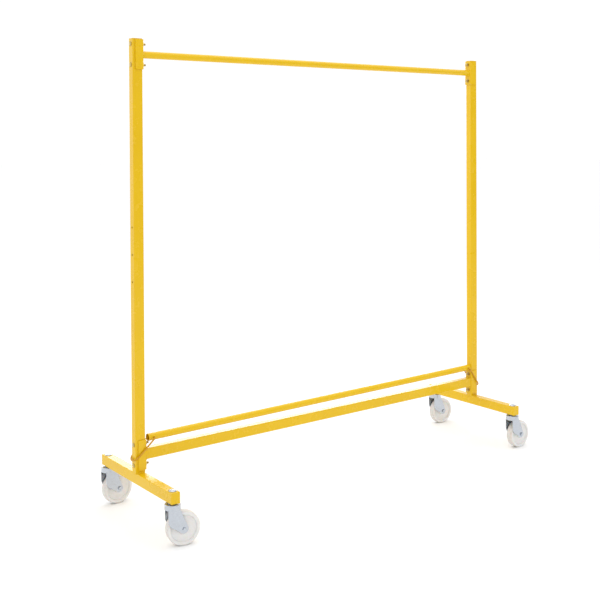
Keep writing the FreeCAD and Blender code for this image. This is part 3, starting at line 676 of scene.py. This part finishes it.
def make_wheel(name):
    """A moulded wheel. Its tread attribute rises from 0 to 1 over TREAD_FADE of radius,
    starting TREAD_EDGE inside the wheel's own radius."""
    joint = JOINTS[name + "_roll"]
    centre, axis = np.array(joint["pos_m"]), np.array(joint["axis"])
    shape = Shape()
    shape.add(turned(wheel_profile(), 128), frame_matrix(centre, axis))
    wheel = shape.make(name + "_wheel_moulding", NYLON, name + "_roller_wheel",
                       [name + "_wheel"])
    points = np.empty(len(wheel.data.vertices) * 3)
    wheel.data.vertices.foreach_get("co", points)
    off = points.reshape(-1, 3) - centre
    along = off @ axis
    radius = np.linalg.norm(off - along[:, None] * axis, axis=1)
    tread = np.clip((radius - (WHEEL_RADIUS - TREAD_EDGE)) / TREAD_FADE, 0, 1)
    layer = wheel.data.attributes.new("tread", "FLOAT", "POINT")
    layer.data.foreach_set("value", tread)


def axle_head_profile(flats):
    """Half outline of the axle bolt's hexagon head: a shallow dish on top, corners
    chamfered as a nut's."""
    half = flats / 2
    corner = flats / math.sqrt(3)
    slope = (corner - half) * NUT_SLOPE
    dish = AXLE_HEAD_TALL - AXLE_HEAD_DISH
    return np.array([(0, dish), (half * 0.55, dish), (half * 0.7, AXLE_HEAD_TALL),
                     (half * 0.96, AXLE_HEAD_TALL), (corner, AXLE_HEAD_TALL - slope), (corner, 0),
                     (AXLE_RADIUS, 0)])


def make_axle(name):
    """Axle bolt with a chamfered head at the front leg, and a collared nut at the back."""
    joint = JOINTS[name + "_roll"]
    centre, axis = np.array(joint["pos_m"]), np.array(joint["axis"])
    front = frame_matrix(centre - axis * FORK_HALF, -axis)
    back = frame_matrix(centre + axis * FORK_HALF, axis)
    length = 2 * FORK_HALF + AXLE_NUT_TALL + AXLE_PAST_NUT
    shank = np.array([(AXLE_RADIUS, 0), (AXLE_RADIUS, AXLE_THREAD - length)])
    bolt = Shape()
    bolt.add(hexed(axle_head_profile(NUT_FLATS), NUT_FLATS), front)
    bolt.add(turned(shank, 32), front)
    bolt.add(threaded(AXLE_RADIUS, BOLT_PITCH, AXLE_THREAD - length, THREAD_TIP - length), front)
    bolt.add(turned(tip_profile(AXLE_RADIUS, length), 32), front)
    bolt.make(name + "_axle_bolt_turned", ZINC, name + "_castor", [name + "_axle_bolt"],
              smooth=25)
    outline = nut_profile(NUT_FLATS, AXLE_NUT_TALL, AXLE_RADIUS + THREAD_CLEARANCE, AXLE_NUT_COLLAR)
    nut = Shape()
    nut.add(hexed(outline, NUT_FLATS), back)
    nut.make(name + "_axle_nut_collared", ZINC, name + "_castor", [name + "_axle_nut"],
             smooth=25)


def make_castors():
    """The pressed fork, the axle and the wheel of each castor."""
    for name in CASTORS:
        softened(name + "_fork", ZINC, name + "_castor", radius=FORK_SOFTNESS)
        make_axle(name)
        make_wheel(name)


# ---------------------------------------------------------------- bails

def bail_path(half, inner):
    """The bail's centre line in its own plane: hook, quarter bend, leg, half circle, leg,
    quarter bend, hook; x runs from the pivot to the round end."""
    bend = arc((WIRE_BEND, half - WIRE_BEND), WIRE_BEND, 180, 90, 10)
    hook = np.stack([np.zeros(8), np.linspace(inner, half - WIRE_BEND, 9)[:-1]], axis=1)
    leg = np.stack([np.linspace(WIRE_BEND, BAIL_LEG, 24)[1:-1], np.full(22, half)], axis=1)
    end = arc((BAIL_LEG, 0), half, 90, -90, 64)
    first = np.concatenate([hook, bend, leg])
    return np.concatenate([first, end, first[::-1] * (1, -1)])


def make_bail(side, sign):
    """A wire carried along the bail's centre line, which lies across the rack and hangs
    from its pivots by half of the swing's range. Its radius rises from the wire's ends
    over WIRE_TIP as a quarter circle."""
    joint = JOINTS[side + "_bail_swing"]
    pivot = np.array(joint["pos_m"])
    half = size_of(side + "_bail")[1] / 2 - WIRE_RADIUS
    drop = math.radians((joint["range_deg"][1] - joint["range_deg"][0]) / 2)
    outwards = np.array([sign * math.cos(drop), 0, -math.sin(drop)])
    path = bail_path(half, RAIL_RADIUS - RAIL_WALL - HOOK_DEPTH)
    route = pivot + path[:, :1] * outwards + path[:, 1:] * np.array([0, 1, 0])
    distance = np.concatenate([[0], np.cumsum(np.linalg.norm(np.diff(route, axis=0), axis=1))])
    end = np.minimum(distance, distance[-1] - distance)
    across = np.cross(outwards, (0, 1, 0))
    rounding = np.clip(end / WIRE_TIP, 0, 1)
    radius = WIRE_RADIUS * np.sqrt(np.clip(1 - (1 - rounding) ** 2, 0.0001, 1))
    wire = Shape()
    wire.add(swept(route, radius, 20, up=across))
    # The wire gets the darker powder-coat copy, whose extra depth is painted shade.
    wire.make(side + "_bail_wire", WIRE_YELLOW_PAINTED_SHADE, side + "_bail", [side + "_bail"], smooth=60)


# ---------------------------------------------------------------- materials of kept nodes

def dress_kept_nodes():
    """Give the CAD pieces that stay their finish: those under the feet and in the castors."""
    kept = {"castor_nuts": ZINC, "king_pins": ZINC, "swivel_races": ZINC,
            "swivel_balls": STEEL, "thrust_washers": PLASTIC}
    for name in CASTORS:
        kept[name + "_axle_sleeve"] = ZINC
        kept[name + "_roller_cage"] = PLASTIC
        kept[name + "_rollers"] = STEEL
    for node, material in kept.items():
        slots = NODES[node].data.materials
        if slots:
            slots[0] = material
        else:
            slots.append(material)


# ---------------------------------------------------------------- studio

def make_studio():
    """A plain pale floor, soft lights and an even white sky. The sky is bright enough for
    the far floor to reach white as well, so no horizon shows."""
    floor = Surface("studio_floor", roughness=0.9, specular_ior_level=0.1)
    patch = floor.noise(3.0, 2.0)
    floor.set(base_color=floor.mix(patch, (0.955, 0.955, 0.955, 1), (0.975, 0.975, 0.975, 1)))
    studio_sheet("studio_floor", floor, 120.0, 120.0)

    world = bpy.data.worlds.new("studio")
    world.use_nodes = True
    sky = world.node_tree.nodes["Background"]
    sky.inputs["Color"].default_value = (1.0, 1.0, 1.0, 1)
    sky.inputs["Strength"].default_value = 1.045
    bpy.context.scene.world = world

    softbox("overhead", (0.4, 0.6, 4.4), (0, 0, 0.6), 4.0, 4.0, 50)
    softbox("key", (-1.2, -4.6, 2.6), (0, 0, 0.9), 2.6, 2.6, 4)
    softbox("side", (-4.2, 4.2, 1.9), (-0.9, 0, 1.0), 2.4, 2.4, 15)
    back = softbox("back", (2.5, 4.7, 2.1), (0, 0, 0.2), 4.6, 2.0, 110)
    back.visible_diffuse = False  # it only shines off the gloss of the top faces
    dark_card("left_card", (-5.0, -2.2, 0.8), (-0.9, 0, 0.8), 0.9, 1.6)
    dark_card("right_card", (4.2, -5.0, 1.3), (0.6, 0, 1.3), 4.8, 2.5)
    bpy.context.scene.view_settings.view_transform = "Standard"


def studio_sheet(name, surface, wide, tall, matrix=np.eye(4)):
    """A flat rectangle of the studio about a matrix's origin, facing its Z."""
    corners = np.array([(-wide, -tall, 0), (wide, -tall, 0), (wide, tall, 0), (-wide, tall, 0)]) / 2
    corners = corners @ matrix[:3, :3].T + matrix[:3, 3]
    mesh = new_mesh(name, corners, np.array([[0, 1, 2, 3]]))
    mesh.materials.append(surface.material)
    sheet = bpy.data.objects.new(name, mesh)
    bpy.context.scene.collection.objects.link(sheet)
    return sheet


def dark_card(name, place, target, wide, tall):
    """A matt dark card that only reflections see; it gives the bright metal and the
    gloss paint something to reflect."""
    dark = Surface(name, base_color=(0.02, 0.02, 0.02, 1), roughness=1.0, specular_ior_level=0.0)
    card = studio_sheet(name, dark, wide, tall, np.array(look_from(place, target)))
    card.visible_camera = False
    card.visible_diffuse = False
    card.visible_shadow = False


def softbox(name, place, target, wide, tall, power):
    """A rectangular area light at place that shines at target; the camera doesn't see it."""
    lamp = bpy.data.lights.new(name, "AREA")
    lamp.shape = "RECTANGLE"
    lamp.size = wide
    lamp.size_y = tall
    lamp.energy = power
    holder = bpy.data.objects.new(name, lamp)
    holder.visible_camera = False
    holder.matrix_world = look_from(place, target)
    bpy.context.scene.collection.objects.link(holder)
    return holder


def look_from(place, target):
    """A matrix at place whose -Z looks at target."""
    place, target = Vector(place), Vector(target)
    turn = (target - place).to_track_quat("-Z", "Y").to_matrix().to_4x4()
    return Matrix.Translation(place) @ turn


def make_camera():
    """The camera stands to the left front, nearly level, with its lens shifted down."""
    place = Vector((-2.56255, -3.20180, 1.40061))
    yaw, pitch, roll = 0.648483, 0.0152865, 0.0050325
    ahead = np.array([math.sin(yaw) * math.cos(pitch), math.cos(yaw) * math.cos(pitch),
                      -math.sin(pitch)])
    right = np.array([math.cos(yaw), -math.sin(yaw), 0.0])
    down = np.cross(ahead, right)
    turned_right = math.cos(roll) * right + math.sin(roll) * down
    turned_down = math.cos(roll) * down - math.sin(roll) * right
    matrix = Matrix.Identity(4)
    for column, axis in enumerate((turned_right, -turned_down, -ahead)):
        for row in range(3):
            matrix[row][column] = axis[row]
    matrix.translation = place
    lens = bpy.data.cameras.new("camera")
    lens.sensor_width = 36.0
    lens.lens = 58.4746
    lens.shift_y = -0.2378
    camera = bpy.data.objects.new("camera", lens)
    camera.matrix_world = matrix
    bpy.context.scene.collection.objects.link(camera)
    bpy.context.scene.camera = camera


make_tubes()
make_top_rail()
make_welds()
make_frame_fasteners()
make_castor_caps()
make_castors()
for side, sign in SIDES.items():
    make_bail(side, sign)
dress_kept_nodes()
make_studio()
make_camera()

bpy.context.view_layer.update()
